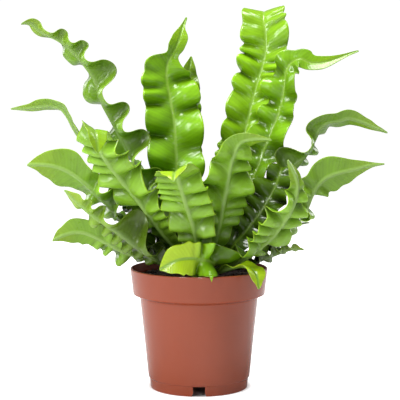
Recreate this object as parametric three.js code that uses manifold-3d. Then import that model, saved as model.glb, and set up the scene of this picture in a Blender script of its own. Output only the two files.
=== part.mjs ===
// A crinkled bird's nest fern growing in a 12 cm nursery pot.
// Millimetres, +Z up. The origin is on the ground, on the pot's axis.
// +X is the plant's right and -Y its front. Each frond is one solid with a smooth blade.
import * as THREE from "three";
import { mergeVertices } from "three/addons/utils/BufferGeometryUtils.js";
import Module from "manifold-3d";

const wasm = await Module();
wasm.setup();

const GAP = 0.4; // between pieces that rest on each other
const plant = new THREE.Group();

function addPiece(name, geometry, material) {
  const mesh = new THREE.Mesh(geometry, material);
  mesh.name = name;
  plant.add(mesh);
}

// ---------------------------------------------------------------- booleans

function toSolid(geometry) {
  const bare = geometry.index ? geometry.toNonIndexed() : geometry.clone();
  bare.deleteAttribute("normal");
  bare.deleteAttribute("uv");
  const merged = mergeVertices(bare, 1e-4);
  return new wasm.Manifold(
    new wasm.Mesh({
      numProp: 3,
      vertProperties: merged.attributes.position.array,
      triVerts: new Uint32Array(merged.index.array),
    }),
  );
}

function toGeometry(solid) {
  const mesh = solid.getMesh();
  return new THREE.BufferGeometry()
    .setAttribute("position", new THREE.BufferAttribute(mesh.vertProperties, 3))
    .setIndex(new THREE.BufferAttribute(mesh.triVerts, 1));
}

// A turned solid about Z from [radius, height] pairs that go up the outside and down the inside.
function turned(profile, segments) {
  const outline = profile.map(([r, z]) => new THREE.Vector2(r, z));
  return new THREE.LatheGeometry(outline, segments).rotateX(Math.PI / 2);
}

// ---------------------------------------------------------------- the pot

const POT_HEIGHT = 105;
const RIM_R = 60; // 12 cm across the rim
const COLLAR_FOOT = { r: 57.6, z: 82.7 }; // lower edge of the upright collar
const WALL_TOP = { r: 51.8, z: 80 };
const WALL_FOOT = { r: 44.4, z: 9.6 };
const FOOT_TOP_R = 43.4;
const FOOT_R = 42.5;
const WALL = 1.3;
const FLOOR = { under: 8.6, top: 10.2 }; // the floor stands off the ground on a foot ring
const POT_SEGMENTS = 60;

function potBody() {
  return turned(
    [
      [0, FLOOR.under],
      [FOOT_TOP_R - WALL - 0.4, FLOOR.under],
      [FOOT_R - WALL - 0.3, 0],
      [FOOT_R, 0],
      [FOOT_TOP_R, FLOOR.under],
      [WALL_FOOT.r, WALL_FOOT.z],
      [WALL_TOP.r, WALL_TOP.z],
      [COLLAR_FOOT.r, COLLAR_FOOT.z],
      [RIM_R, POT_HEIGHT - 0.5],
      [RIM_R - 0.4, POT_HEIGHT],
      [RIM_R - WALL, POT_HEIGHT],
      [COLLAR_FOOT.r - WALL, COLLAR_FOOT.z + 1.2],
      [WALL_TOP.r - WALL, WALL_TOP.z + 1.2],
      [WALL_FOOT.r - WALL, FLOOR.top + 2],
      [WALL_FOOT.r - WALL - 2, FLOOR.top],
      [0, FLOOR.top],
    ],
    POT_SEGMENTS,
  );
}

// A drain notch through the foot ring, wider where it meets the ground.
const NOTCH = { width: 10.2, height: 8.4, flare: 1.2, flareHeight: 3 };

function notchCutter(compass) {
  const half = NOTCH.width / 2;
  const wide = half + NOTCH.flare;
  const outline = new THREE.Shape([
    new THREE.Vector2(-wide, -1),
    new THREE.Vector2(wide, -1),
    new THREE.Vector2(wide, 0),
    new THREE.Vector2(half, NOTCH.flareHeight),
    new THREE.Vector2(half, NOTCH.height),
    new THREE.Vector2(-half, NOTCH.height),
    new THREE.Vector2(-half, NOTCH.flareHeight),
    new THREE.Vector2(-wide, 0),
  ]);
  const depth = 12;
  return new THREE.ExtrudeGeometry(outline, { depth, bevelEnabled: false })
    .rotateX(Math.PI / 2)
    .translate(0, -(FOOT_R - depth + 4), 0)
    .rotateZ(THREE.MathUtils.degToRad(compass - 270));
}

const NOTCHES = [30, 150, 270];
const DRAIN_HOLE = { r: 5, circle: 26, segments: 16 };

function drainHole(compass) {
  const turn = THREE.MathUtils.degToRad(compass);
  return new THREE.CylinderGeometry(DRAIN_HOLE.r, DRAIN_HOLE.r, 8, DRAIN_HOLE.segments)
    .rotateX(Math.PI / 2)
    .translate(DRAIN_HOLE.circle * Math.cos(turn), DRAIN_HOLE.circle * Math.sin(turn), FLOOR.top);
}

function pot() {
  let body = toSolid(potBody());
  for (const compass of NOTCHES) {
    body = body.subtract(toSolid(notchCutter(compass))).subtract(toSolid(drainHole(compass)));
  }
  return toGeometry(body);
}

const terracottaPlastic = new THREE.MeshStandardMaterial({ color: 0xa85a46, roughness: 0.38 });
addPiece("nursery_pot", pot(), terracottaPlastic);

// ------------------------------------------------- the soil and the crown

const SOIL_EDGE = 97;
const SOIL_TOP = 99;
const CROWN = { r: 18, bed: 91, shoulder: 98.5, dome: 6 };

// The root ball fills the pot and is hollowed in the middle for the crown.
const soilProfile = [
  [0, FLOOR.top + GAP],
  [WALL_FOOT.r - WALL - 2.4, FLOOR.top + GAP],
  [WALL_FOOT.r - WALL - GAP, FLOOR.top + 2.4],
  [WALL_TOP.r - WALL - GAP, WALL_TOP.z + 1.3],
  [COLLAR_FOOT.r - WALL - GAP, COLLAR_FOOT.z + 1.3],
  [COLLAR_FOOT.r - WALL - GAP + 1.4, SOIL_EDGE],
  [CROWN.r + GAP + 4, SOIL_TOP],
  [CROWN.r + GAP, SOIL_TOP],
  [CROWN.r + GAP, CROWN.bed - GAP],
  [0, CROWN.bed - GAP],
];
const pottingMix = new THREE.MeshStandardMaterial({ color: 0x2e1f18, roughness: 0.95 });
addPiece("potting_soil", turned(soilProfile, 40), pottingMix);

function crownHeight(r) {
  return CROWN.shoulder + CROWN.dome * (1 - (r / CROWN.r) ** 2);
}

const crownProfile = [
  [0, CROWN.bed],
  [CROWN.r, CROWN.bed],
  [CROWN.r, CROWN.shoulder],
  ...[15, 12, 8, 4, 0].map((r) => [r, crownHeight(r)]),
];
const crownScales = new THREE.MeshStandardMaterial({ color: 0x4a3322, roughness: 0.9 });
addPiece("fern_crown", turned(crownProfile, 24), crownScales);

// ---------------------------------------------------------------- the fronds

const RING_R = { inner: 6, middle: 10.6, outer: 15.4 }; // where the stalks leave the crown
const ROOT_LIFT = 2.4; // of a midrib's start above the crown
const STALK_WIDTH = 3.6;
const EDGE_THICKNESS = 0.8;
const RIB_DEPTH = { crown: 3, tip: 1 };
const CHANNEL = 0.22; // how far each half of a blade folds up from the midrib
const STEP = 9; // mm of midrib between two sections

const frondGreen = new THREE.MeshStandardMaterial({ color: 0x6aa82a, roughness: 0.35 });

// A smooth value through evenly numbered knots, flat at none of them.
function through(values, t) {
  const last = values.length - 1;
  const i = Math.min(Math.floor(t), last - 1);
  const [a, b, c, d] = [i - 1, i, i + 1, i + 2].map((k) => values[Math.min(Math.max(k, 0), last)]);
  const f = t - i;
  return b + 0.5 * f * (c - a + f * (2 * a - 5 * b + 4 * c - d + f * (3 * (b - c) + d - a)));
}

// Sections along the midrib: its place, the way it grows, the way across the blade to its left edge,
// the blade's width there, and how far along the frond it is, from 0 to 1.
function sections({ ring, compass, faces = compass, line }) {
  const turn = THREE.MathUtils.degToRad(compass);
  const root = [RING_R[ring] * Math.cos(turn), RING_R[ring] * Math.sin(turn)];
  const knots = [[...root, crownHeight(RING_R[ring]) + ROOT_LIFT, STALK_WIDTH, 0], ...line];
  const places = knots.map(([x, y, z]) => new THREE.Vector3(x, y, z));
  const midrib = new THREE.CatmullRomCurve3(places, false, "centripetal");
  const steps = Math.round(midrib.getLength() / STEP);
  const facing = THREE.MathUtils.degToRad(faces);
  const across = new THREE.Vector3(-Math.sin(facing), Math.cos(facing), 0);
  let before = null;
  return Array.from({ length: steps + 1 }, (_, i) => {
    const t = midrib.getUtoTmapping(i / steps);
    const knot = t * (knots.length - 1);
    const growth = midrib.getTangent(t);
    if (before) {
      across.applyQuaternion(new THREE.Quaternion().setFromUnitVectors(before, growth));
    }
    across.addScaledVector(growth, -across.dot(growth)).normalize();
    before = growth;
    const twist = THREE.MathUtils.degToRad(through(knots.map((k) => k[4]), knot));
    return {
      place: midrib.getPoint(t),
      growth,
      across: across.clone().applyAxisAngle(growth, twist),
      width: Math.max(through(knots.map((k) => k[3]), knot), 1),
      along: i / steps,
    };
  });
}

// The six corners of a section: left edge, midrib and right edge on top,
// then the same from right to left beneath.
function corners({ place, growth, across, width, along }) {
  const up = new THREE.Vector3().crossVectors(growth, across);
  const fold = Math.atan(CHANNEL);
  const rib = THREE.MathUtils.lerp(RIB_DEPTH.crown, RIB_DEPTH.tip, along);
  const at = (sideways, rise) =>
    place.clone().addScaledVector(across, sideways).addScaledVector(up, rise);
  const reach = (width / 2) * Math.cos(fold);
  const lift = (width / 2) * Math.sin(fold);
  return [
    at(reach, lift),
    at(0, 0),
    at(-reach, lift),
    at(-reach, lift - EDGE_THICKNESS),
    at(0, -rib),
    at(reach, lift - EDGE_THICKNESS),
  ];
}

// One closed blade: a skin of quads over the sections, drawn to a point at the crown and at the tip.
function blade(frond) {
  const stations = sections(frond);
  const rings = stations.map(corners);
  const n = rings[0].length;
  const ends = [stations[0], stations.at(-1)].map(({ place, growth }, end) =>
    place.clone().addScaledVector(growth, end ? 2 : -1),
  );
  const points = [...rings.flat(), ...ends];
  const [rootPoint, tipPoint] = [points.length - 2, points.length - 1];
  const faces = [];
  for (let i = 0; i < n; i++) {
    const j = (i + 1) % n;
    faces.push(rootPoint, j, i);
    for (let k = 0; k < rings.length - 1; k++) {
      const [a, b, c, d] = [k * n + i, k * n + j, (k + 1) * n + j, (k + 1) * n + i];
      faces.push(a, b, c, a, c, d);
    }
    const lastRing = (rings.length - 1) * n;
    faces.push(tipPoint, lastRing + i, lastRing + j);
  }
  return new THREE.BufferGeometry()
    .setAttribute("position", new THREE.Float32BufferAttribute(points.flatMap((p) => p.toArray()), 3))
    .setIndex(faces);
}

// The frond's line is a list of [x, y, z, blade width, twist in degrees], from the crown to the tip.
// compass is where its stalk leaves the crown and faces where the back of the blade looks:
// 0 is right, 90 is back, 180 is left and 270 is front.
const FRONDS = {
  tall_back_left: {
    ring: "inner", compass: 145, faces: 96,
    line: [
      [-9, 11, 128, 11, 0], [-15, 18, 158, 32, 0], [-20, 25, 190, 48, 0], [-22, 29, 227, 51, 0],
      [-26, 31, 254, 51, 0], [-29, 32, 272, 49, 0], [-28, 33, 283, 37, 0], [-24, 33, 291, 13, 15],
      [-18, 33, 303, 18, 10], [-15, 34, 314, 6, 0], [-11, 35, 324, 1, 0],
    ],
  },
  tall_back_right: {
    ring: "inner", compass: 60, faces: 80,
    line: [
      [9, 14, 130, 11, 0], [19, 22, 160, 26, 0], [30, 29, 190, 36, 0], [41, 35, 220, 41, 0],
      [45, 38, 238, 42, 0], [49, 40, 256, 43, 0], [54, 42, 273, 43, 0], [59, 43, 290, 44, 0],
      [60, 44, 306, 44, 0], [58, 48, 322, 42, 0], [59, 59, 331, 35, 0], [60, 71, 327, 23, 0],
      [61, 78, 314, 11, 0], [62, 81, 301, 1, 0],
    ],
  },
  tall_behind: {
    ring: "middle", compass: 112, faces: 95,
    line: [
      [-6, 26, 130, 8, 0], [-7, 38, 160, 13, 0], [-8, 47, 195, 19, 0], [-8, 52, 228, 22, 0],
      [-9, 54, 254, 21, 0], [-9, 55, 275, 16, 0], [-7, 56, 290, 1, 0],
    ],
  },
  ribbon_right: {
    ring: "inner", compass: 5, faces: 60,
    line: [
      [17, 5, 130, 10, 0], [30, 9, 155, 22, 0], [42, 12, 175, 30, 0], [50, 14, 188, 32, 0],
      [57, 16, 207, 34, 0], [66, 17, 229, 36, 0], [72, 18, 247, 32, 0], [75, 18, 265, 34, 0],
      [78, 18, 280, 30, 0], [87, 17, 287, 21, 0], [99, 15, 283, 17, 0], [115, 13, 285, 9, 0],
      [128, 12, 290, 4, 0], [139, 11, 294, 1, 0],
    ],
  },
  spiral_left: {
    ring: "inner", compass: 205, faces: 178,
    line: [
      [-14, 0, 126, 10, 0], [-28, 3, 146, 20, 0], [-41, 7, 166, 28, 0], [-54, 9, 191, 33, 0],
      [-65, 11, 212, 34, 0], [-76, 11, 232, 34, 0], [-85, 11, 249, 34, 0], [-90, 11, 266, 34, 0],
      [-99, 11, 280, 32, 0], [-110, 11, 293, 27, 0], [-123, 10, 303, 20, 0], [-137, 8, 310, 14, 0],
      [-147, 6, 318, 9, 0], [-154, 5, 317, 1, 0],
    ],
  },
  long_left: {
    ring: "middle", compass: 192, faces: 182,
    line: [
      [-24, -6, 122, 10, 0], [-40, -10, 142, 22, 0], [-58, -13, 164, 30, 0], [-77, -14, 187, 31, 0],
      [-94, -13, 209, 25, 0], [-106, -11, 224, 22, 0], [-113, -10, 237, 20, 15],
      [-121, -9, 245, 19, 30], [-134, -8, 246, 16, 40], [-148, -7, 244, 9, 40], [-162, -6, 244, 1, 40],
    ],
  },
  folded_left: {
    ring: "outer", compass: 206, faces: 196,
    line: [
      [-28, -15, 115, 10, 0], [-47, -22, 134, 23, 0], [-67, -26, 152, 29, 5], [-82, -28, 166, 28, 15],
      [-95, -29, 179, 26, 30], [-106, -30, 188, 32, 50], [-117, -31, 194, 36, 60],
      [-130, -32, 197, 25, 60], [-145, -33, 197, 1, 60],
    ],
  },
  broad_left: {
    ring: "middle", compass: 226, faces: 242,
    line: [
      [-16, -14, 118, 10, 0], [-30, -25, 136, 24, 0], [-44, -39, 157, 34, 0], [-55, -51, 173, 40, 0],
      [-66, -62, 188, 42, 0], [-74, -70, 200, 43, 0], [-80, -77, 211, 41, 0], [-83, -84, 222, 34, 0],
      [-83, -92, 229, 25, 0], [-82, -101, 228, 21, 0], [-80, -108, 220, 15, 0], [-79, -111, 211, 1, 0],
    ],
  },
  low_left: {
    ring: "outer", compass: 184, faces: 188,
    line: [
      [-28, -3, 107, 9, 0], [-40, -6, 112, 18, 0], [-53, -10, 116, 24, 15], [-66, -13, 121, 26, 30],
      [-79, -15, 128, 22, 40], [-90, -16, 134, 20, 45], [-103, -17, 138, 24, 50],
      [-115, -18, 136, 18, 50], [-126, -19, 131, 1, 50],
    ],
  },
  yellow_left: {
    ring: "outer", compass: 229, faces: 215,
    line: [
      [-22, -24, 107, 9, 0], [-36, -34, 116, 20, 0], [-50, -41, 126, 28, 0], [-64, -45, 137, 30, 0],
      [-77, -47, 147, 28, 0], [-90, -48, 156, 23, 0], [-101, -48, 166, 19, 0],
      [-107, -48, 172, 12, 0], [-112, -48, 177, 1, 0],
    ],
  },
  inner_left: {
    ring: "middle", compass: 165, faces: 168,
    line: [
      [-24, 6, 118, 10, 0], [-40, 11, 134, 24, 0], [-55, 16, 150, 30, 0], [-68, 21, 165, 29, 0],
      [-79, 27, 178, 20, 0], [-88, 30, 188, 1, 0],
    ],
  },
  front_centre: {
    ring: "middle", compass: 260, faces: 266,
    line: [
      [0, -24, 118, 10, 0], [-3, -42, 138, 28, 0], [-8, -56, 157, 38, 0], [-13, -68, 175, 40, 0],
      [-17, -78, 189, 38, 0], [-19, -87, 195, 32, 0], [-20, -98, 194, 18, 0], [-20, -106, 189, 1, 0],
    ],
  },
  front_right: {
    ring: "middle", compass: 295, faces: 280,
    line: [
      [12, -16, 122, 10, 0], [18, -29, 146, 26, 0], [21, -38, 164, 38, 0], [24, -46, 182, 41, 0],
      [27, -53, 199, 34, 0], [31, -58, 211, 27, 0], [36, -63, 218, 18, 0], [47, -68, 220, 10, 0],
      [59, -71, 220, 1, 0],
    ],
  },
  broad_right: {
    ring: "outer", compass: 318, faces: 292,
    line: [
      [21, -17, 107, 9, 0], [32, -21, 112, 18, 0], [45, -28, 120, 30, 0], [54, -37, 129, 39, 0],
      [62, -45, 138, 45, 0], [69, -52, 148, 43, 0], [76, -58, 160, 36, 0], [80, -62, 172, 21, 0],
      [81, -64, 183, 14, 0], [77, -66, 194, 9, 0], [72, -68, 203, 1, 0],
    ],
  },
  dark_right: {
    ring: "middle", compass: 342, faces: 60,
    line: [
      [22, -8, 117, 9, 0], [33, -12, 131, 21, 0], [44, -14, 144, 30, 0], [54, -14, 157, 35, 0],
      [62, -12, 170, 35, 0], [68, -9, 182, 29, 0], [71, -3, 191, 18, 0], [73, 4, 193, 8, 0],
      [75, 10, 189, 1, 0],
    ],
  },
  spiral_right: {
    ring: "middle", compass: 20, faces: 8,
    line: [
      [22, 8, 121, 10, 0], [34, 11, 136, 20, 0], [46, 13, 151, 26, 0], [60, 14, 167, 28, 0],
      [76, 13, 182, 28, 0], [88, 11, 195, 27, 0], [97, 9, 208, 26, 0], [103, 8, 220, 26, 0],
      [109, 7, 230, 24, 0], [119, 6, 232, 20, -15], [131, 5, 235, 17, -30], [144, 4, 231, 11, -40],
      [156, 3, 226, 5, -40], [164, 3, 223, 1, -40],
    ],
  },
  folded_right: {
    ring: "outer", compass: 3, faces: 355,
    line: [
      [30, 0, 110, 10, 0], [45, -2, 118, 20, 0], [60, -4, 128, 27, 0], [76, -6, 138, 31, 0],
      [88, -8, 149, 32, 0], [95, -9, 162, 31, -10], [100, -10, 174, 30, -30], [108, -11, 183, 33, -50],
      [118, -12, 188, 32, -60], [130, -13, 191, 23, -60], [145, -14, 195, 8, -60], [159, -15, 197, 1, -60],
    ],
  },
  low_right: {
    ring: "outer", compass: 341, faces: 345,
    line: [
      [29, -6, 105, 9, 0], [43, -10, 109, 18, 0], [57, -14, 115, 24, -10], [69, -18, 120, 24, -20],
      [80, -21, 124, 16, -30], [90, -23, 124, 1, -30],
    ],
  },
  rim_right: {
    ring: "outer", compass: 297, faces: 310,
    line: [
      [17, -26, 105, 8, 0], [27, -33, 109, 13, 0], [37, -41, 112, 18, 0], [45, -48, 110, 19, 0],
      [49, -54, 103, 13, 0], [50, -57, 95, 1, 0],
    ],
  },
  rim_front: {
    ring: "outer", compass: 274, faces: 210,
    line: [
      [9, -25, 106, 7, 0], [14, -35, 111, 15, 0], [9, -45, 116, 24, 0], [-3, -51, 119, 29, 0],
      [-15, -54, 119, 27, 0], [-25, -53, 115, 18, 0], [-33, -51, 110, 1, 0],
    ],
  },
};

for (const [name, frond] of Object.entries(FRONDS)) {
  addPiece(`frond_${name}`, blade(frond), frondGreen);
}

// The fronds behind simply arch: each leaves the crown at the angle rise above level and bends
// evenly down to the angle droop at its tip.
function archingLine({ compass, ring, length, rise, droop, width }) {
  const turn = THREE.MathUtils.degToRad(compass);
  const knots = 7;
  const step = length / knots;
  let reach = RING_R[ring];
  let z = crownHeight(reach) + ROOT_LIFT;
  return Array.from({ length: knots }, (_, i) => {
    const share = (i + 1) / knots;
    const angle = THREE.MathUtils.degToRad(THREE.MathUtils.lerp(rise, droop, (i + 0.5) / knots));
    reach += step * Math.cos(angle);
    z += step * Math.sin(angle);
    const blade = share < 1 ? width * Math.sin(Math.PI * share ** 0.85) ** 0.7 : 1;
    return [reach * Math.cos(turn), reach * Math.sin(turn), z, blade, 0];
  });
}

const BACK_FRONDS = [
  { compass: 26, ring: "outer", length: 105, rise: 38, droop: 4, width: 23 },
  { compass: 49, ring: "outer", length: 128, rise: 58, droop: -8, width: 28 },
  { compass: 72, ring: "outer", length: 108, rise: 38, droop: -24, width: 28 },
  { compass: 96, ring: "outer", length: 112, rise: 58, droop: -16, width: 29 },
  { compass: 117, ring: "outer", length: 108, rise: 36, droop: -20, width: 26 },
  { compass: 140, ring: "outer", length: 124, rise: 46, droop: -8, width: 26 },
  { compass: 165, ring: "outer", length: 100, rise: 34, droop: 0, width: 22 },
  { compass: 66, ring: "middle", length: 148, rise: 70, droop: 20, width: 30 },
  { compass: 137, ring: "middle", length: 150, rise: 68, droop: 14, width: 30 },
];
BACK_FRONDS.forEach((frond, i) => {
  addPiece(`frond_back_${i + 1}`, blade({ ...frond, line: archingLine(frond) }), frondGreen);
});

export default plant;
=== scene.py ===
"""A crinkled bird's nest fern in a nursery pot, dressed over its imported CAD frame."""

import math
import random

import bmesh
import bpy
from mathutils import Matrix, Quaternion, Vector, noise


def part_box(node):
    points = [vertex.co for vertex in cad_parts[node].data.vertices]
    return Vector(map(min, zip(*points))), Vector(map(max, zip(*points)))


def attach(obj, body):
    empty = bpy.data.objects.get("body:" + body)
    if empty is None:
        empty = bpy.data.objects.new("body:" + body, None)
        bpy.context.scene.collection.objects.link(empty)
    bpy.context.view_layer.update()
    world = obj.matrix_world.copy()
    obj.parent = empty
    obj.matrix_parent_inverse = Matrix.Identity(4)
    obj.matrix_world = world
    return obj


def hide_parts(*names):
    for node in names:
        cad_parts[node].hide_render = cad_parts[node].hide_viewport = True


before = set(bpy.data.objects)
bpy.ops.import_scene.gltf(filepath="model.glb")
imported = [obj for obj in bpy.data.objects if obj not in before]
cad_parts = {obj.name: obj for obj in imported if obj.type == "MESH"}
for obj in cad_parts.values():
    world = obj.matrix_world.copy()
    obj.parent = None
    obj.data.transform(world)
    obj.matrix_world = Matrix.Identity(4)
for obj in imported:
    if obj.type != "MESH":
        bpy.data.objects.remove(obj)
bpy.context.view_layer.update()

MM = 0.001


# ------------------------------------------------------------- camera, floor and lights
# A long lens looks slightly down at the middle of the plant from 1.1 m away.
# The plant stands on a white sweep under large soft lights, and the sky is white.

CAMERA_PLACE = Vector((0, -1.113, 0.2638))
CAMERA_DIP = math.radians(5.1137)
LENS = 115.35  # on a 36 mm frame

camera_data = bpy.data.cameras.new("camera")
camera_data.sensor_width = 36
camera_data.lens = LENS
camera_data.shift_x = 0.0025
camera_data.clip_start = 0.01
camera = bpy.data.objects.new("camera", camera_data)
camera.location = CAMERA_PLACE
camera.rotation_euler = (math.pi / 2 - CAMERA_DIP, 0, 0)
bpy.context.scene.collection.objects.link(camera)
bpy.context.scene.camera = camera
bpy.context.scene.view_settings.view_transform = "Standard"


def new_material(name):
    """A new node material, its node tree and its Principled shader."""
    material = bpy.data.materials.new(name)
    material.use_nodes = True
    tree = material.node_tree
    shader = next(n for n in tree.nodes if n.type == "BSDF_PRINCIPLED")
    return material, tree, shader


def add_node(tree, kind, sockets=None, **settings):
    """Adds a node with these properties. sockets gives an input's value, or the output linked to it."""
    node = tree.nodes.new(kind)
    for key, value in settings.items():
        setattr(node, key, value)
    for key, value in (sockets or {}).items():
        if isinstance(value, bpy.types.NodeSocket):
            tree.links.new(value, node.inputs[key])
        else:
            node.inputs[key].default_value = value
    return node


def finished_object(name, bm, materials, smooth=True):
    """Turns a bmesh into an object in the scene with these materials."""
    mesh = bpy.data.meshes.new(name)
    bm.to_mesh(mesh)
    bm.free()
    for material in materials:
        mesh.materials.append(material)
    for face in mesh.polygons:
        face.use_smooth = smooth
    piece = bpy.data.objects.new(name, mesh)
    bpy.context.scene.collection.objects.link(piece)
    return piece


SHADED_FLOOR_R = 41 * MM  # the floor right under the pot stays unlit
OPEN_FLOOR_R = 47 * MM
FLOOR_GLOW = 0.9

floor_paint, tree, shader = new_material("white_sweep")
shader.inputs["Base Color"].default_value = (0.7, 0.7, 0.7, 1)
shader.inputs["Roughness"].default_value = 0.9
shader.inputs["Emission Color"].default_value = (1, 1, 1, 1)
floor_ray = add_node(tree, "ShaderNodeLightPath")
floor_place = add_node(tree, "ShaderNodeTexCoord")
from_pot = add_node(
    tree, "ShaderNodeVectorMath", operation="LENGTH", sockets={0: floor_place.outputs["Object"]}
)
open_floor = add_node(
    tree,
    "ShaderNodeMapRange",
    sockets={0: from_pot.outputs["Value"], 1: SHADED_FLOOR_R, 2: OPEN_FLOOR_R, 3: 0.0, 4: FLOOR_GLOW},
)
lit = add_node(
    tree,
    "ShaderNodeMath",
    operation="MULTIPLY",
    sockets={0: floor_ray.outputs["Is Camera Ray"], 1: open_floor.outputs[0]},
)
tree.links.new(lit.outputs[0], shader.inputs["Emission Strength"])
bm = bmesh.new()
bmesh.ops.create_grid(bm, x_segments=1, y_segments=1, size=12)
floor = finished_object("floor", bm, [floor_paint], smooth=False)

SKY_SEEN = 1.05  # how bright the sky is to the camera, in a reflection and as light
SKY_MIRRORED = 0.4
SKY_LIGHT = 0.17

world = bpy.data.worlds.new("white_room")
world.use_nodes = True
room = world.node_tree
ray = add_node(room, "ShaderNodeLightPath")
mirrored = add_node(
    room, "ShaderNodeMapRange", sockets={0: ray.outputs["Is Glossy Ray"], 3: SKY_LIGHT, 4: SKY_MIRRORED}
)
brightness = add_node(
    room, "ShaderNodeMapRange", sockets={0: ray.outputs["Is Camera Ray"], 3: mirrored.outputs[0], 4: SKY_SEEN}
)
room.nodes["Background"].inputs["Color"].default_value = (1, 1, 1, 1)
room.links.new(brightness.outputs[0], room.nodes["Background"].inputs["Strength"])
bpy.context.scene.world = world


LIGHT_AIM = Vector((0, 0, 0.17))


def soft_light(name, place, width, height, watts):
    """A rectangular soft box that faces the plant."""
    data = bpy.data.lights.new(name, "AREA")
    data.shape = "RECTANGLE"
    data.size = width
    data.size_y = height
    data.energy = watts
    light = bpy.data.objects.new(name, data)
    light.location = place
    light.rotation_euler = (LIGHT_AIM - Vector(place)).to_track_quat("-Z", "Y").to_euler()
    bpy.context.scene.collection.objects.link(light)


soft_light("key_left", (-1.0, -0.75, 0.62), 0.2, 0.9, 12)
soft_light("strip_left", (-0.5, -1.25, 0.35), 0.05, 0.7, 1.8)
soft_light("strip_right", (0.42, -1.25, 0.35), 0.05, 0.7, 1.8)
soft_light("top", (-0.15, -0.2, 1.35), 0.6, 0.6, 23)
soft_light("behind_right", (0.9, 0.75, 0.6), 0.5, 0.8, 7)
soft_light("behind_left", (-0.9, 0.85, 0.6), 0.5, 0.8, 6)


# ------------------------------------------------------------- the nursery pot
# One injection-moulded pot of terracotta-coloured polypropylene: an upright collar, a slanted ledge
# under it, a tapering wall and a foot ring with three drain notches. The floor stands off the ground
# and has drain holes.

pot_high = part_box("nursery_pot")[1]
RIM_R = pot_high.x
POT_HEIGHT = pot_high.z
COLLAR_FOOT = (57.6 * MM, 82.7 * MM)
WALL_TOP = (51.8 * MM, 80 * MM)
WALL_FOOT = (44.4 * MM, 9.6 * MM)
FOOT_TOP_R = 43.4 * MM
FOOT_R = 42.5 * MM
WALL = 1.3 * MM
FLOOR_UNDER = 8.5 * MM
FLOOR_TOP = 10.2 * MM
NOTCHES = (30, 150, 270)  # in degrees round the pot
NOTCH_HALF = 5.1 * MM
NOTCH_FLARE = 1.2 * MM
NOTCH_FLARE_TOP = 3 * MM
DRAIN_HOLE_R = 5 * MM
DRAIN_CIRCLE = 26 * MM
POT_DARK = (0.256, 0.045, 0.0145, 1)
POT_LIGHT = (0.298, 0.055, 0.0195, 1)


def outline_face(bm, outline):
    """A flat face through [radius, height] points, standing in the XZ plane."""
    return bm.faces.new([bm.verts.new((r, 0, z)) for r, z in outline])


def pot_shell():
    """The wall, ledge, collar and floor, turned from one outline."""
    bm = bmesh.new()
    profile = [
        (0, FLOOR_UNDER),
        (FOOT_TOP_R - WALL, FLOOR_UNDER),
        (FOOT_TOP_R, FLOOR_UNDER),
        WALL_FOOT,
        WALL_TOP,
        COLLAR_FOOT,
        (RIM_R, POT_HEIGHT - 0.6 * MM),
        (RIM_R - 0.5 * MM, POT_HEIGHT),
        (RIM_R - WALL, POT_HEIGHT),
        (COLLAR_FOOT[0] - WALL, COLLAR_FOOT[1] + 1.2 * MM),
        (WALL_TOP[0] - WALL, WALL_TOP[1] + 1.2 * MM),
        (WALL_FOOT[0] - WALL, FLOOR_TOP + 2 * MM),
        (WALL_FOOT[0] - WALL - 2 * MM, FLOOR_TOP),
        (0, FLOOR_TOP),
    ]
    points = [bm.verts.new((r, 0, z)) for r, z in profile]
    edges = [bm.edges.new(pair) for pair in zip(points, points[1:])]
    bmesh.ops.spin(
        bm, geom=points + edges, cent=(0, 0, 0), axis=(0, 0, 1), angle=2 * math.pi, steps=160, use_merge=True
    )
    bmesh.ops.remove_doubles(bm, verts=bm.verts, dist=1e-6)
    bmesh.ops.recalc_face_normals(bm, faces=bm.faces)
    return bm


def foot_ring(bm):
    """Three arcs of foot ring between the notches, each drawn round from one end face."""
    half_notch = math.asin(NOTCH_HALF / FOOT_R)
    for compass in NOTCHES:
        start = math.radians(compass) + half_notch
        turn = math.radians(120) - 2 * half_notch
        rows = [0, NOTCH_FLARE_TOP, FLOOR_UNDER + 0.2 * MM]
        outer = [(FOOT_R + (FOOT_TOP_R - FOOT_R) * z / FLOOR_UNDER - 0.02 * MM, z) for z in rows]
        inner = [(r - WALL, z) for r, z in reversed(outer)]
        end_face = outline_face(bm, outer + inner)
        bmesh.ops.rotate(bm, verts=end_face.verts, cent=(0, 0, 0), matrix=Matrix.Rotation(start, 3, "Z"))
        ends = [(start, end_face.verts[:])]
        swept = bmesh.ops.spin(bm, geom=[end_face], cent=(0, 0, 0), axis=(0, 0, 1), angle=turn, steps=40)
        ends.append((start + turn, [v for v in swept["geom_last"] if isinstance(v, bmesh.types.BMVert)]))
        for side, (angle, verts) in zip((1, -1), ends):
            for v in verts:
                if v.co.z < 0.1 * MM:
                    back = Vector((-math.sin(angle), math.cos(angle), 0)) * side * NOTCH_FLARE
                    v.co += back
    bmesh.ops.recalc_face_normals(bm, faces=bm.faces)


def add_grain(tree, scale, detail=4.0):
    """Fine moulded or natural grain on Object coordinates, as a height from 0 to 1."""
    place = add_node(tree, "ShaderNodeTexCoord")
    return add_node(
        tree,
        "ShaderNodeTexNoise",
        sockets={"Vector": place.outputs["Object"], "Scale": scale, "Detail": detail},
    )


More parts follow.
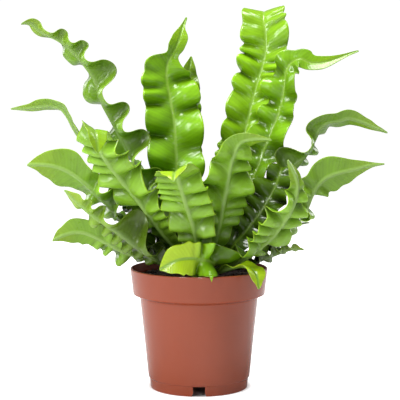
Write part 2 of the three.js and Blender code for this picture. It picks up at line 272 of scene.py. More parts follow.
pot_plastic, tree, shader = new_material("terracotta_plastic")
clouds = add_grain(tree, 28, 3.0)
pot_colour = add_node(tree, "ShaderNodeValToRGB", sockets={"Fac": clouds.outputs["Fac"]})
pot_colour.color_ramp.elements[0].color = POT_DARK
pot_colour.color_ramp.elements[1].color = POT_LIGHT
tree.links.new(pot_colour.outputs["Color"], shader.inputs["Base Color"])
fine = add_grain(tree, 900, 2.0)
rub = add_node(
    tree, "ShaderNodeMapRange", sockets={"Value": clouds.outputs["Fac"], "To Min": 0.19, "To Max": 0.27}
)
tree.links.new(rub.outputs["Result"], shader.inputs["Roughness"])
bump = add_node(
    tree, "ShaderNodeBump", sockets={"Height": fine.outputs["Fac"], "Strength": 0.12, "Distance": 0.0003}
)
tree.links.new(bump.outputs["Normal"], shader.inputs["Normal"])
shader.inputs["Specular IOR Level"].default_value = 0.5

drills = bmesh.new()
for compass in NOTCHES:
    turn = math.radians(compass)
    out = Vector((math.cos(turn), math.sin(turn), 0))
    hole = DRAIN_CIRCLE * out + Vector((0, 0, (FLOOR_UNDER + FLOOR_TOP) / 2))
    bmesh.ops.create_cone(
        drills,
        cap_ends=True,
        segments=32,
        radius1=DRAIN_HOLE_R,
        radius2=DRAIN_HOLE_R,
        depth=8 * MM,
        matrix=Matrix.Translation(hole),
    )
drill = finished_object("drill", drills, [pot_plastic], smooth=False)
bm = pot_shell()
foot_ring(bm)
pot = finished_object("pot", bm, [pot_plastic])
bore = pot.modifiers.new("drain_holes", "BOOLEAN")
bore.operation = "DIFFERENCE"
bore.object = drill
bore.solver = "EXACT"
bpy.context.view_layer.update()
bored = bpy.data.meshes.new_from_object(pot.evaluated_get(bpy.context.evaluated_depsgraph_get()))
pot.modifiers.clear()
pot.data = bored
bpy.data.objects.remove(drill)
soften = pot.modifiers.new("soft_edges", "BEVEL")
soften.width = 0.3 * MM
soften.segments = 2
soften.limit_method = "ANGLE"
soften.angle_limit = math.radians(30)
soften.harden_normals = True
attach(pot, "root")
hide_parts("nursery_pot")


# ------------------------------------------------------------- the potting soil
# Moist peat with bark, pressed in to about 8 mm below the rim. The roots in it are never seen, so it
# is one solid plug with a rough top.

soil_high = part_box("potting_soil")[1]
SOIL_R = soil_high.x - 0.1 * MM  # just clear of the collar
SOIL_SWELL = 2 * MM  # how much higher the soil is in the middle
SOIL_TOP = soil_high.z - SOIL_SWELL

soil_mix, tree, shader = new_material("potting_mix")
crumb_noise = add_grain(tree, 420, 6.0)
soil_colour = add_node(tree, "ShaderNodeValToRGB", sockets={"Fac": crumb_noise.outputs["Fac"]})
soil_colour.color_ramp.elements[0].position = 0.35
soil_colour.color_ramp.elements[0].color = (0.008, 0.005, 0.0035, 1)
soil_colour.color_ramp.elements[1].position = 0.72
soil_colour.color_ramp.elements[1].color = (0.075, 0.042, 0.024, 1)
tree.links.new(soil_colour.outputs["Color"], shader.inputs["Base Color"])
shader.inputs["Roughness"].default_value = 0.95
bump = add_node(
    tree, "ShaderNodeBump", sockets={"Height": crumb_noise.outputs["Fac"], "Strength": 0.9, "Distance": 0.002}
)
tree.links.new(bump.outputs["Normal"], shader.inputs["Normal"])

bm = bmesh.new()
outline = [(0, 12 * MM), (42 * MM, 12 * MM), (50 * MM, 80 * MM), (55.8 * MM, 85 * MM), (SOIL_R, 96.5 * MM)]
points = [bm.verts.new((r, 0, z)) for r, z in outline]
top_rings = 30
for i in range(1, top_rings + 1):
    points.append(bm.verts.new((SOIL_R * (1 - i / top_rings), 0, SOIL_TOP + SOIL_SWELL * i / top_rings)))
edges = [bm.edges.new(pair) for pair in zip(points, points[1:])]
bmesh.ops.spin(
    bm, geom=points + edges, cent=(0, 0, 0), axis=(0, 0, 1), angle=2 * math.pi, steps=120, use_merge=True
)
bmesh.ops.remove_doubles(bm, verts=bm.verts, dist=1e-6)
bmesh.ops.recalc_face_normals(bm, faces=bm.faces)
for v in bm.verts:
    if v.co.z > SOIL_TOP - 0.2 * MM:
        rough = noise.fractal(v.co * 180, 0.8, 2.0, 4)
        v.co.z += 0.9 * MM * rough
soil = finished_object("soil", bm, [soil_mix])
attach(soil, "root")
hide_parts("potting_soil")


# ------------------------------------------------------------- crumbs, bark and fibres on the soil
# Loose bits of the same mix lying on top: dark peat crumbs, flat chips of pine bark and pale
# straw-like fibres.

dice = random.Random(12)
LITTER_LOW_R = 19 * MM
LITTER_HIGH_R = 56 * MM


def scattered(bm, count, shape):
    """Lays count small shapes on the soil, each turned at random.
    shape(bm) adds one and returns its vertices."""
    for _ in range(count):
        verts = shape(bm)
        r = math.sqrt(dice.uniform(LITTER_LOW_R**2, LITTER_HIGH_R**2))
        turn = dice.uniform(0, 2 * math.pi)
        spin = Quaternion((0, 0, 1), dice.uniform(0, 6.28)) @ Quaternion((1, 0, 0), dice.gauss(0, 0.35))
        bed = SOIL_TOP + SOIL_SWELL * (1 - r / SOIL_R) + dice.uniform(-0.3, 0.6) * MM
        place = Vector((r * math.cos(turn), r * math.sin(turn), bed))
        for v in verts:
            v.co = place + spin @ v.co


def crumb(bm):
    size = dice.uniform(0.5, 1.7) * MM
    verts = bmesh.ops.create_icosphere(bm, subdivisions=1, radius=size)["verts"]
    for v in verts:
        v.co *= dice.uniform(0.7, 1.2)
        v.co.z *= 0.75
    return verts


def bark_chip(bm):
    verts = bmesh.ops.create_cube(bm, size=1)["verts"]
    long, wide, thin = dice.uniform(3, 7) * MM, dice.uniform(1.6, 3.4) * MM, dice.uniform(0.5, 1.1) * MM
    for v in verts:
        v.co = Vector((v.co.x * long, v.co.y * wide, v.co.z * thin)) * dice.uniform(0.8, 1.15)
    return verts


def fibre(bm):
    long, bend = dice.uniform(4, 11) * MM, dice.uniform(-2, 2) * MM
    verts = bmesh.ops.create_cone(
        bm,
        cap_ends=True,
        segments=5,
        radius1=0.16 * MM,
        radius2=0.12 * MM,
        depth=long,
        matrix=Matrix.Rotation(math.pi / 2, 4, "Y"),
    )["verts"]
    for v in verts:
        v.co.y += bend * (v.co.x / long) ** 2
        v.co.z += 0.8 * MM
    return verts


def loose_material(name, dark, light, rough):
    """A dull material mottled between a dark and a light colour."""
    material, tree, shader = new_material(name)
    grain = add_grain(tree, 500, 4.0)
    ramp = add_node(tree, "ShaderNodeValToRGB", sockets={"Fac": grain.outputs["Fac"]})
    ramp.color_ramp.elements[0].position = 0.3
    ramp.color_ramp.elements[0].color = (*dark, 1)
    ramp.color_ramp.elements[1].position = 0.7
    ramp.color_ramp.elements[1].color = (*light, 1)
    tree.links.new(ramp.outputs["Color"], shader.inputs["Base Color"])
    shader.inputs["Roughness"].default_value = rough
    relief = add_node(
        tree, "ShaderNodeBump", sockets={"Height": grain.outputs["Fac"], "Strength": 0.5, "Distance": 0.0005}
    )
    tree.links.new(relief.outputs["Normal"], shader.inputs["Normal"])
    return material


peat_crumbs = loose_material("peat_crumbs", (0.007, 0.004, 0.003), (0.05, 0.028, 0.016), 0.9)
pine_bark = loose_material("pine_bark", (0.03, 0.014, 0.008), (0.13, 0.062, 0.03), 0.8)
straw_fibres = loose_material("straw_fibres", (0.2, 0.13, 0.07), (0.45, 0.34, 0.2), 0.7)

for name, count, shape, material in (
    ("soil_crumbs", 520, crumb, peat_crumbs),
    ("soil_bark", 60, bark_chip, pine_bark),
    ("soil_fibres", 40, fibre, straw_fibres),
):
    bm = bmesh.new()
    scattered(bm, count, shape)
    loose = finished_object(name, bm, [material], smooth=False)
    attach(loose, "root")


# ------------------------------------------------------------- the crown
# The fern's short upright stem, which the fronds grow from. It is wrapped in papery brown scales that
# point up and out.

crown_low, crown_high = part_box("fern_crown")
scale_brown, tree, shader = new_material("crown_scales")
scale_noise = add_grain(tree, 300, 5.0)
scale_colour = add_node(tree, "ShaderNodeValToRGB", sockets={"Fac": scale_noise.outputs["Fac"]})
scale_colour.color_ramp.elements[0].color = (0.035, 0.017, 0.008, 1)
scale_colour.color_ramp.elements[1].color = (0.16, 0.085, 0.04, 1)
tree.links.new(scale_colour.outputs["Color"], shader.inputs["Base Color"])
shader.inputs["Roughness"].default_value = 0.75
CROWN_R = crown_high.x
SHOULDER = 98.5 * MM
DOME = crown_high.z - SHOULDER
SCALES = 170
SCALE_TURN = math.radians(137.5)  # from one scale to the next


def on_dome(r, turn):
    """A point on the crown's top, at a distance from its axis and an angle round it."""
    return Vector((r * math.cos(turn), r * math.sin(turn), SHOULDER + DOME * (1 - (r / CROWN_R) ** 2)))


bm = bmesh.new()
outline = [(0, crown_low.z), (CROWN_R, crown_low.z), (CROWN_R, SHOULDER)]
outline += [(CROWN_R * k / 8, on_dome(CROWN_R * k / 8, 0).z) for k in range(7, -1, -1)]
points = [bm.verts.new((r, 0, z)) for r, z in outline]
edges = [bm.edges.new(pair) for pair in zip(points, points[1:])]
bmesh.ops.spin(
    bm, geom=points + edges, cent=(0, 0, 0), axis=(0, 0, 1), angle=2 * math.pi, steps=48, use_merge=True
)
bmesh.ops.remove_doubles(bm, verts=bm.verts, dist=1e-6)
bmesh.ops.recalc_face_normals(bm, faces=bm.faces)
for i in range(SCALES):
    r = CROWN_R * math.sqrt((i + 0.5) / SCALES)
    turn = i * SCALE_TURN
    spread = math.radians(70 - 55 * r / CROWN_R + dice.uniform(-14, 14))
    out = Vector((math.cos(turn), math.sin(turn), 0))
    growing = (out * math.cos(spread) + Vector((0, 0, math.sin(spread)))).normalized()
    side = Vector((-math.sin(turn), math.cos(turn), 0))
    face = growing.cross(side)
    long, wide = dice.uniform(4.5, 8) * MM, dice.uniform(1.2, 2) * MM
    for v in bmesh.ops.create_uvsphere(bm, u_segments=6, v_segments=5, radius=1)["verts"]:
        taper = 0.5 - 0.5 * v.co.z
        v.co = (
            on_dome(r, turn)
            + growing * (v.co.z + 0.6) * long * 0.5
            + side * v.co.x * wide * (0.35 + 0.65 * taper)
            + face * v.co.y * 0.25 * MM
        )
crown = finished_object("crown", bm, [scale_brown])
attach(crown, "root")
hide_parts("fern_crown")


# ------------------------------------------------------------- the fronds
# Each frond is one undivided leathery blade, glossy green above and paler and satin beneath, with a
# raised midrib. Its margins are longer than its midrib, so it is thrown into ruffles between the side
# veins. It grows from the crown and follows its CAD blade.


def blade_sections(node):
    """Left edge, midrib and right edge of every section of a frond's CAD blade, from the crown to the tip."""
    bm = bmesh.new()
    bm.from_mesh(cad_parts[node].data)
    bmesh.ops.remove_doubles(bm, verts=bm.verts, dist=0.02 * MM)
    crown_heart = (crown_low + crown_high) / 2
    layers = [{min(bm.verts, key=lambda v: (v.co - crown_heart).length)}]
    seen = set(layers[0])
    while layers[-1]:
        layers.append({e.other_vert(v) for v in layers[-1] for e in v.link_edges} - seen)
        seen |= layers[-1]
    rings = layers[1:-2]  # a blade's section is a ring of six corners, and each end closes on a point
    centre = sum((v.co for v in rings[0]), Vector()) / 6
    growth = sum((v.co for v in rings[1]), Vector()) / 6 - centre
    walk = [max(rings[0], key=lambda v: (v.co - centre).length)]
    while len(walk) < 6:
        around = [e.other_vert(walk[-1]) for e in walk[-1].link_edges]
        walk.append(next(v for v in around if v in rings[0] and v not in walk))
    across = (walk[3].co - walk[0].co).cross(growth)
    if (walk[2].co - walk[4].co).dot(across) < 0:
        walk = walk[:1] + walk[:0:-1]
    ring = walk[2:] + walk[:2]
    sections = [[v.co.copy() for v in ring[:3]]]
    for layer in rings[1:]:
        beside = [{e.other_vert(v) for e in v.link_edges} & layer for v in ring]
        ring = [(beside[i - 1] & beside[i]).pop() for i in range(6)]
        sections.append([v.co.copy() for v in ring[:3]])
    bm.free()
    return sections


def smooth_between(values, t):
    """A smooth value through evenly numbered values."""
    i = min(max(int(t), 0), len(values) - 2)
    a, b, c, d = (values[min(max(k, 0), len(values) - 1)] for k in (i - 1, i, i + 1, i + 2))
    f = t - i
    return b + (c - a + (a * 2 - b * 5 + c * 4 - d + ((b - c) * 3 + d - a) * f) * f) * (0.5 * f)


def ease(low, high, x):
    """0 up to low and 1 from high, with a smooth rise between."""
    t = min(max((x - low) / (high - low), 0.0), 1.0)
    return t * t * (3 - 2 * t)


ROW = 0.85 * MM  # between two rows of blade mesh
COLUMNS = 28  # across a blade
BLADE_THICKNESS = 0.5 * MM
RIB_THICKNESS = 2.2 * MM
CHANNEL = math.atan(0.22)  # how far each half folds up from the midrib
WIDE_HALF = 14 * MM  # half the width at which a blade's ruffles have their whole depth
SWAY = 2 * MM  # how far a midrib strays sideways from the CAD one
UV_SCALE = 10  # UV units per metre
# A blade that crosses the rim is kept this far above it, between these distances from the pot's axis.
RIM_CLEARANCE = 1.3 * MM
RIM_ZONE = (RIM_R - WALL - 4 * MM, RIM_R + 3.2 * MM)
RIM_REACH = 20 * MM  # a blade that is lower than this below the rim is left alone


def ruffle_rhythm(length, wave, wander, seed):
    """Per mm along one side of a blade: the ruffles' beat in radians and their width as a share of wave."""
    beats, shares = [seed * 1.7], [1.0]
    for s in range(int(length) + 2):
        share = max(0.5, 1 + wander * noise.noise(Vector((s * 0.8 / wave, seed * 5.3, 0.5))))
        shares.append(share)
        beats.append(beats[-1] + 2 * math.pi / (wave * share))
    return beats, shares


def at_distance(table, s):
    """The value at s mm in a table with one value per mm."""
    i = min(max(int(s), 0), len(table) - 2)
    return table[i] + (table[i + 1] - table[i]) * (s - i)


def ruffled_blade(
    node,
    wave,
    depth,
    seed,
    bulge=1,
    broad=0.55,
    curl=0.0,
    slant=0.12,
    wander=1.5,
    lively=0.9,
    roll=8,
    tilt=0,
    fresh=0.0,
    fresh_tip=0.4,
    fresh_span=(0.78, 1.0),
    dark_green_and_shade=0.0,
    aged_and_shaded=0.8,
    aged_and_shaded_until=(20, 95),
    lush=0,
    lush_until=(60, 115),
    bare=(12, 45),
    calm=(0.9, 1.0),
    quiet=1.0,
):
    """The mesh of one frond's upper surface, before it gets its thickness.

    wave is the length of a ruffle and depth its height at the margin, in mm. bulge is 1 where the broad
    side of the ruffles is above and -1 where it is beneath, and broad is how much broader it is. curl
    makes both sides round like a loop. slant carries the ruffles towards the tip, and wander and lively
    make their lengths and depths uneven. roll is how far the blade rocks about its midrib and tilt how
    far it leans, in degrees.

    fresh is how yellow-green the blade is, and fresh_tip how much more so it gets between the two shares
    of its length in fresh_span. dark_green_and_shade is how dark it is all over: a darker green together
    with painted shade, for a frond inside the plant or at its back. aged_and_shaded is how much darker it
    is at the crown, where the blade is older and painted shade falls among the crowded fronds, and
    aged_and_shaded_until the two distances in mm between which that fades. lush is how many mm are added
    to each half near the crown, up to the distances in lush_until.

    The ruffles start between the two distances in bare, and lose the share quiet of their depth between
    the two shares of the length in calm. seed sets the random part."""
    sections = blade_sections(node)
    edges = [[s[i] for s in sections] for i in (0, 2)]
    middles = [s[1] for s in sections]
    last = len(sections) - 1
    length = sum((b - a).length for a, b in zip(middles, middles[1:]))
    rows = max(24, round(length / ROW))
    rhythms = [ruffle_rhythm(length / MM, wave, wander, seed + 0.37 * k) for k in (0, 1)]
    rungs = []
    for row in range(rows + 1):
        u = row / rows
        t = u * last
        s = u * length / MM
        ahead = smooth_between(middles, min(t + 0.3, last))
        behind = smooth_between(middles, max(t - 0.3, 0))
        growth = (ahead - behind).normalized()
        across = smooth_between(edges[0], t) - smooth_between(edges[1], t)
        widened = lush * MM * ease(3, 20, s) * (1 - ease(*lush_until, s))
        half = max(across.length / 2, 0.3 * MM) + widened
        across = (across - growth * across.dot(growth)).normalized()
        settled = ease(*bare, s)
        tipped = (math.radians(roll) * math.sin(s / 17 + seed * 2.1) + math.radians(tilt)) * settled
        across.rotate(Quaternion(growth, tipped))
        up = growth.cross(across)
        swing = noise.noise(Vector((s * 0.02, seed * 4.7, 2))) * SWAY * settled * (1 - u)
        place = smooth_between(middles, t) + across * swing
        calmed = (1 - quiet * ease(*calm, u)) * (1 - ease(0.95, 1.0, u))
        strength = settled * calmed * min(1.1, half / WIDE_HALF)
        rungs.append((place, growth, across, up, half, settled, strength))

    bm = bmesh.new()
    bmesh.ops.create_grid(bm, x_segments=rows, y_segments=COLUMNS, size=0.5)
    uv = bm.loops.layers.uv.new("blade")
    fresh_layer = bm.verts.layers.float.new("fresh")
    margin_layer = bm.verts.layers.float.new("margin")
    painted_crest_shade_layer = bm.verts.layers.float.new("painted_crest_shade")
    dark_green_and_shade_layer = bm.verts.layers.float.new("dark_green_and_shade")
    rib = bm.verts.layers.deform.verify()
    where = {}
    for v in bm.verts:
        row = round((v.co.x + 0.5) * rows)
        side = v.co.y * 2
        reach = abs(side) ** 1.15
        place, growth, across, up, half, settled, strength = rungs[row]
        s = row / rows * length / MM
        beats, shares = rhythms[side < 0]
        s_ruffle = s - slant * half * reach / MM
        beat = at_distance(beats, s_ruffle)
        share = at_distance(shares, s_ruffle)
        swell = strength * ease(-0.1, 0.55, reach) * (0.55 + 0.45 * reach) * ease(0.0, 0.12, reach)
        own_noise = Vector((s_ruffle * 0.6 / wave, seed * 3.1, 7.5 if side < 0 else 2.5))
        fullness = 1 + lively * noise.noise(own_noise)
        ripple = 0.18 * lively * reach * math.sin(2.3 * beat + seed)
        shape = fullness * (bulge * math.cos(beat) + ripple)
        spread = half * reach * (1 + 0.06 * settled * math.cos(beat + 0.5) * reach)
        slide = wave * share * MM / (2 * math.pi) * (broad * math.sin(beat) + curl * 0.5 * math.sin(2 * beat))
        v.co = (
            place
            + across * math.copysign(spread * math.cos(CHANNEL), side)
            + up * (spread * math.sin(CHANNEL) + depth * MM * share * swell * shape)
            + growth * slide * min(1.0, swell)
        )
        groove = math.exp(-((spread / (1.1 * MM)) ** 2))
        v.co -= up * 0.4 * MM * groove
        over_rim = RIM_ZONE[0] < math.hypot(v.co.x, v.co.y) < RIM_ZONE[1]
        if over_rim and v.co.z > POT_HEIGHT - RIM_REACH:
            v.co.z = max(v.co.z, POT_HEIGHT + RIM_CLEARANCE)
        stalk = 1 - ease(6, 36, s)
        v[rib][0] = max(math.exp(-((spread / (1.3 * MM)) ** 2)), stalk * 0.9) * (1 - 0.85 * row / rows)
        v[margin_layer] = reach
        # Painted light: the blade is painted lighter on each ruffle's ridge and darker in its creases.
        v[painted_crest_shade_layer] = 0.5 + 0.5 * min(1.0, swell) * shape
        # A darker green together with painted shade: all over a frond inside the plant or at its back, and
        # more near the crown, where the blade is older and the fronds crowd.
        v[dark_green_and_shade_layer] = min(1.0, dark_green_and_shade + aged_and_shaded * (1 - ease(*aged_and_shaded_until, s)))
        v[fresh_layer] = min(1.0, max(0.0, fresh + fresh_tip * ease(*fresh_span, row / rows)))
        where[v] = (s * MM * UV_SCALE, math.copysign(half * reach, side) * UV_SCALE)
    for face in bm.faces:
        for loop in face.loops:
            loop[uv].uv = where[loop.vert]
    return bm


VEIN_GAP = 2.6 * MM  # from one side vein to the next, along the midrib
COARSE_VEIN_GAP = 6.1 * MM
VEIN_SLANT = 0.45  # how far a side vein runs towards the tip for each step outwards
DEEP_SHADE = 0.84  # the share of its colour that the darkest blade loses to a darker green and painted shade, and its midrib
DEEP_RIB_SHADE = 0.7


def leaf_pattern_group():
    """Colour and relief of a blade: midrib, side veins, mottling and fresh yellow-green growth, with a
    painted highlight on the ruffles' ridges, painted shade in their creases, and a darker green with painted
    shade on fronds inside the plant and at the crown.
    """
    group = bpy.data.node_groups.new("leaf_pattern", "ShaderNodeTree")
    for name, kind in (
        ("Blade Colour", "NodeSocketColor"),
        ("Fresh Colour", "NodeSocketColor"),
        ("Rib Colour", "NodeSocketColor"),
        ("Rib Width", "NodeSocketFloat"),
        ("Vein Contrast", "NodeSocketFloat"),
        ("Painted Crest Contrast", "NodeSocketFloat"),
    ):
        group.interface.new_socket(name=name, in_out="INPUT", socket_type=kind)
    for name, kind in (
        ("Colour", "NodeSocketColor"),
        ("Height", "NodeSocketFloat"),
        ("Mottle", "NodeSocketFloat"),
    ):
        group.interface.new_socket(name=name, in_out="OUTPUT", socket_type=kind)
    given = add_node(group, "NodeGroupInput")
    result = add_node(group, "NodeGroupOutput")

    def sums(operation, a, b=0.0):
        """A Math node's result."""
        return add_node(group, "ShaderNodeMath", operation=operation, sockets={0: a, 1: b}).outputs[0]

    blade_uv = add_node(group, "ShaderNodeUVMap", uv_map="blade")
    parts = add_node(group, "ShaderNodeSeparateXYZ", sockets={0: blade_uv.outputs["UV"]})
    from_rib = sums("ABSOLUTE", parts.outputs["Y"])
    slant = sums("MULTIPLY", from_rib, VEIN_SLANT)
    vein_place = sums("SUBTRACT", parts.outputs["X"], slant)
    veins = sums("SINE", sums("MULTIPLY", vein_place, 2 * math.pi / (VEIN_GAP * UV_SCALE)))
    coarse = sums("SINE", sums("MULTIPLY", vein_place, 2 * math.pi / (COARSE_VEIN_GAP * UV_SCALE)))
    spot = add_node(group, "ShaderNodeTexCoord")
    mottle = add_node(
        group, "ShaderNodeTexNoise", sockets={"Vector": spot.outputs["Object"], "Scale": 60, "Detail": 4}
    )
    fresh = add_node(group, "ShaderNodeAttribute", attribute_name="fresh")
    margin = add_node(group, "ShaderNodeAttribute", attribute_name="margin")
    margin_line = add_node(
        group,
        "ShaderNodeMapRange",
        interpolation_type="SMOOTHSTEP",
        sockets={0: margin.outputs["Fac"], 1: 0.95, 2: 1.0},
    )
    yellowed = sums("MAXIMUM", fresh.outputs["Fac"], sums("MULTIPLY", margin_line.outputs[0], 0.4))
    greened = add_node(
        group,
        "ShaderNodeMix",
        data_type="RGBA",
        sockets={0: yellowed, 6: given.outputs["Blade Colour"], 7: given.outputs["Fresh Colour"]},
    )
    # Painted highlight on the ruffles' ridges and painted shade in their creases, with the sign turned round
    # on the underside.
    painted_crest_shade = add_node(group, "ShaderNodeAttribute", attribute_name="painted_crest_shade")
    raised = sums("MULTIPLY", sums("SUBTRACT", painted_crest_shade.outputs["Fac"], 0.5), given.outputs["Painted Crest Contrast"])
    shade = sums("ADD", sums("MULTIPLY", mottle.outputs["Fac"], 0.5), 0.75)
    shade = sums("ADD", shade, raised)
    vein_shade = sums("MULTIPLY", sums("ADD", veins, coarse), given.outputs["Vein Contrast"])
    still_plain = sums("SUBTRACT", 1.0, sums("MULTIPLY", fresh.outputs["Fac"], 0.7))
    shade = sums("ADD", shade, sums("MULTIPLY", vein_shade, still_plain))
    # A darker green together with painted shade, for fronds inside the plant and near the crown.
    dark_green_and_shade = add_node(group, "ShaderNodeAttribute", attribute_name="dark_green_and_shade")
    deep_shade = sums("SUBTRACT", 1.0, sums("MULTIPLY", dark_green_and_shade.outputs["Fac"], DEEP_SHADE))
    toned = add_node(
        group,
        "ShaderNodeMix",
        data_type="RGBA",
        blend_type="MULTIPLY",
        sockets={0: 1.0, 6: greened.outputs[2], 7: sums("MULTIPLY", shade, deep_shade)},
    )
    deep_rib_shade = sums("SUBTRACT", 1.0, sums("MULTIPLY", dark_green_and_shade.outputs["Fac"], DEEP_RIB_SHADE))
    rib_toned = add_node(
        group,
        "ShaderNodeMix",
        data_type="RGBA",
        blend_type="MULTIPLY",
        sockets={0: 1.0, 6: given.outputs["Rib Colour"], 7: deep_rib_shade},
    )
    rib_width = given.outputs["Rib Width"]
    ribbed = add_node(
        group,
        "ShaderNodeMapRange",
        interpolation_type="SMOOTHSTEP",
        sockets={0: from_rib, 1: sums("MULTIPLY", rib_width, 0.3), 2: rib_width, 3: 1.0, 4: 0.0},
    )
    final = add_node(
        group,
        "ShaderNodeMix",
        data_type="RGBA",
        sockets={0: ribbed.outputs[0], 6: toned.outputs[2], 7: rib_toned.outputs[2]},
    )
    height = sums("MULTIPLY", veins, 0.5)
    group.links.new(final.outputs[2], result.inputs["Colour"])
    group.links.new(height, result.inputs["Height"])
    group.links.new(mottle.outputs["Fac"], result.inputs["Mottle"])
    return group


leaf_pattern = leaf_pattern_group()


def leaf_material(
    name, blade, fresh, rib, rib_width, vein_contrast, painted_crest_contrast, rough, bump_depth, see_through, coat
):
    """A leathery leaf surface that lets some light through."""
    material, tree, shader = new_material(name)
    pattern = add_node(tree, "ShaderNodeGroup", node_tree=leaf_pattern)
    pattern.inputs["Blade Colour"].default_value = (*blade, 1)
    pattern.inputs["Fresh Colour"].default_value = (*fresh, 1)
    pattern.inputs["Rib Colour"].default_value = (*rib, 1)
    pattern.inputs["Rib Width"].default_value = rib_width * UV_SCALE
    pattern.inputs["Vein Contrast"].default_value = vein_contrast
    # How strongly the ruffles' ridges get a painted highlight and their creases painted shade.
    pattern.inputs["Painted Crest Contrast"].default_value = painted_crest_contrast
    tree.links.new(pattern.outputs["Colour"], shader.inputs["Base Color"])
    gloss = add_node(
        tree, "ShaderNodeMapRange", sockets={0: pattern.outputs["Mottle"], 3: rough - 0.06, 4: rough + 0.08}
    )
    tree.links.new(gloss.outputs[0], shader.inputs["Roughness"])
    relief = add_node(
        tree,
        "ShaderNodeBump",
        sockets={"Height": pattern.outputs["Height"], "Strength": bump_depth, "Distance": 0.0004},
    )
    tree.links.new(relief.outputs["Normal"], shader.inputs["Normal"])
    shader.inputs["Coat Weight"].default_value = coat
    shader.inputs["Coat Roughness"].default_value = 0.2
    glow = add_node(tree, "ShaderNodeBsdfTranslucent", sockets={"Color": pattern.outputs["Colour"]})
    both = add_node(
        tree,
        "ShaderNodeMixShader",
        sockets={0: see_through, 1: shader.outputs["BSDF"], 2: glow.outputs["BSDF"]},
    )
    end = next(n for n in tree.nodes if n.type == "OUTPUT_MATERIAL")
    tree.links.new(both.outputs["Shader"], end.inputs["Surface"])
    return material


blade_upper = leaf_material(
    "blade_upper_side",
    blade=(0.19, 0.41, 0.007),
    fresh=(0.45, 0.66, 0.012),
    rib=(0.27, 0.48, 0.04),
    rib_width=2 * MM,
    vein_contrast=0.05,
    painted_crest_contrast=0.85,
    rough=0.2,
    bump_depth=0.16,
    see_through=0.25,
    coat=0.12,
)
blade_under = leaf_material(
    "blade_under_side",
    blade=(0.225, 0.43, 0.026),
    fresh=(0.46, 0.62, 0.03),
    rib=(0.33, 0.53, 0.11),
    rib_width=2.4 * MM,
    vein_contrast=0.035,
    # Beneath, the painted highlight falls where the upper side has its creases.
    painted_crest_contrast=-0.85,
    rough=0.27,
    bump_depth=0.16,
    see_through=0.25,
    coat=0.1,
)

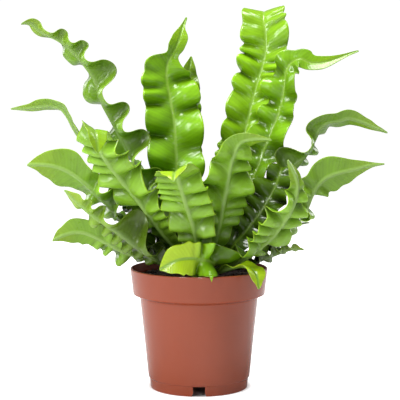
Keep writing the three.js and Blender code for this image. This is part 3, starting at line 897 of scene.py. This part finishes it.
# How each frond is ruffled, turned and coloured, with the darker green and painted shade it gets inside the
# plant and at the crown. The ones at the back that aren't named share a habit.
FROND_HABITS = {
    "frond_tall_back_left": dict(wave=23, depth=4, wander=1.3, calm=(0.68, 0.84), quiet=0.9),
    "frond_tall_back_right": dict(
        wave=16, depth=3.8, slant=0.25, fresh=0.1, fresh_tip=0.6, aged_and_shaded=0.6, aged_and_shaded_until=(40, 170),
        calm=(0.64, 0.84), quiet=0.8,
    ),
    "frond_tall_behind": dict(wave=16, depth=3, dark_green_and_shade=0.35, aged_and_shaded_until=(40, 170)),
    "frond_ribbon_right": dict(
        wave=30, depth=6.5, broad=0.3, curl=0.5, wander=1.0, lively=0.5, dark_green_and_shade=0.15, aged_and_shaded_until=(40, 150),
        calm=(0.72, 0.82),
    ),
    "frond_spiral_left": dict(
        wave=36, depth=9, broad=0, curl=0.6, slant=0, wander=0.8, lively=0.5, roll=4, tilt=40, dark_green_and_shade=0.2
    ),
    "frond_long_left": dict(wave=22, depth=7, curl=0.3, calm=(0.55, 0.7)),
    "frond_folded_left": dict(
        wave=22, depth=8, broad=0.2, curl=0.5, lively=0.6, tilt=10, aged_and_shaded=0.85, aged_and_shaded_until=(30, 115),
        lush=3, lush_until=(70, 125), calm=(0.6, 0.72),
    ),
    "frond_broad_left": dict(
        wave=18, depth=4.8, bulge=-1, slant=0.2, aged_and_shaded=0.5, calm=(0.74, 0.84), quiet=0.8
    ),
    "frond_low_left": dict(
        wave=20, depth=8, broad=0.2, curl=0.6, lively=0.5, roll=5, tilt=14, aged_and_shaded_until=(20, 75), lush=3,
        bare=(4, 20), calm=(0.56, 0.7),
    ),
    "frond_yellow_left": dict(
        wave=24, depth=8, broad=0.1, curl=0.6, slant=0, lively=0.4, roll=5, tilt=22, fresh=0.15, aged_and_shaded=0.9,
        aged_and_shaded_until=(30, 125), lush=1, lush_until=(80, 130), bare=(6, 24), calm=(0.8, 0.95),
    ),
    "frond_inner_left": dict(
        wave=20, depth=7, broad=0.1, curl=0.6, roll=6, tilt=-12, fresh_tip=0, dark_green_and_shade=0.6, lush=3, bare=(6, 24)
    ),
    "frond_front_centre": dict(
        wave=13.5, depth=4, bulge=-1, fresh_tip=1.0, aged_and_shaded=0.35, lush=3, calm=(0.76, 0.86), quiet=0.8
    ),
    "frond_front_right": dict(
        wave=15.5, depth=4.6, bulge=-1, aged_and_shaded=0.25, lush=2, calm=(0.74, 0.84), quiet=0.85
    ),
    "frond_broad_right": dict(wave=20, depth=5, bulge=-1, curl=0.3, aged_and_shaded=0.45, calm=(0.8, 0.9)),
    "frond_dark_right": dict(wave=22, depth=5.5, fresh_tip=0, dark_green_and_shade=0.85, lush=2, bare=(6, 26)),
    "frond_spiral_right": dict(
        wave=24, depth=7, broad=0.1, curl=0.6, lively=0.6, roll=4, tilt=-35, dark_green_and_shade=0.2,
        aged_and_shaded_until=(40, 150), calm=(0.6, 0.78),
    ),
    "frond_folded_right": dict(
        wave=22, depth=8, broad=0.2, curl=0.5, lively=0.6, tilt=-10, dark_green_and_shade=0.1, lush=2, calm=(0.6, 0.7)
    ),
    "frond_low_right": dict(wave=17, depth=5, curl=0.3, fresh_tip=0.7, dark_green_and_shade=0.3, bare=(6, 22)),
    "frond_rim_right": dict(
        wave=16, depth=2, fresh_tip=1.0, fresh_span=(0.35, 0.65), aged_and_shaded_until=(12, 34), bare=(6, 20)
    ),
    "frond_rim_front": dict(
        wave=13, depth=7, fresh_tip=1.0, fresh_span=(0.5, 0.68), aged_and_shaded_until=(22, 42), lush=7,
        lush_until=(32, 50), bare=(3, 14), calm=(0.5, 0.66),
    ),
}
# The unnamed fronds at the back get a darker green with painted shade.
BACK_HABIT = dict(wave=19, depth=4.5, dark_green_and_shade=0.6)

for number, node in enumerate(sorted(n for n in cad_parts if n.startswith("frond_"))):
    habit = FROND_HABITS.get(node, BACK_HABIT)
    bm = ruffled_blade(node, seed=number + 1, **habit)
    blade = finished_object(node.replace("frond_", "leaf_"), bm, [blade_upper, blade_under])
    blade.vertex_groups.new(name="rib")
    thick = blade.modifiers.new("thickness", "SOLIDIFY")
    thick.thickness = RIB_THICKNESS
    thick.offset = -1
    thick.vertex_group = "rib"
    thick.thickness_vertex_group = BLADE_THICKNESS / RIB_THICKNESS
    thick.material_offset = 1
    thick.material_offset_rim = 1
    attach(blade, "root")
    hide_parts(node)
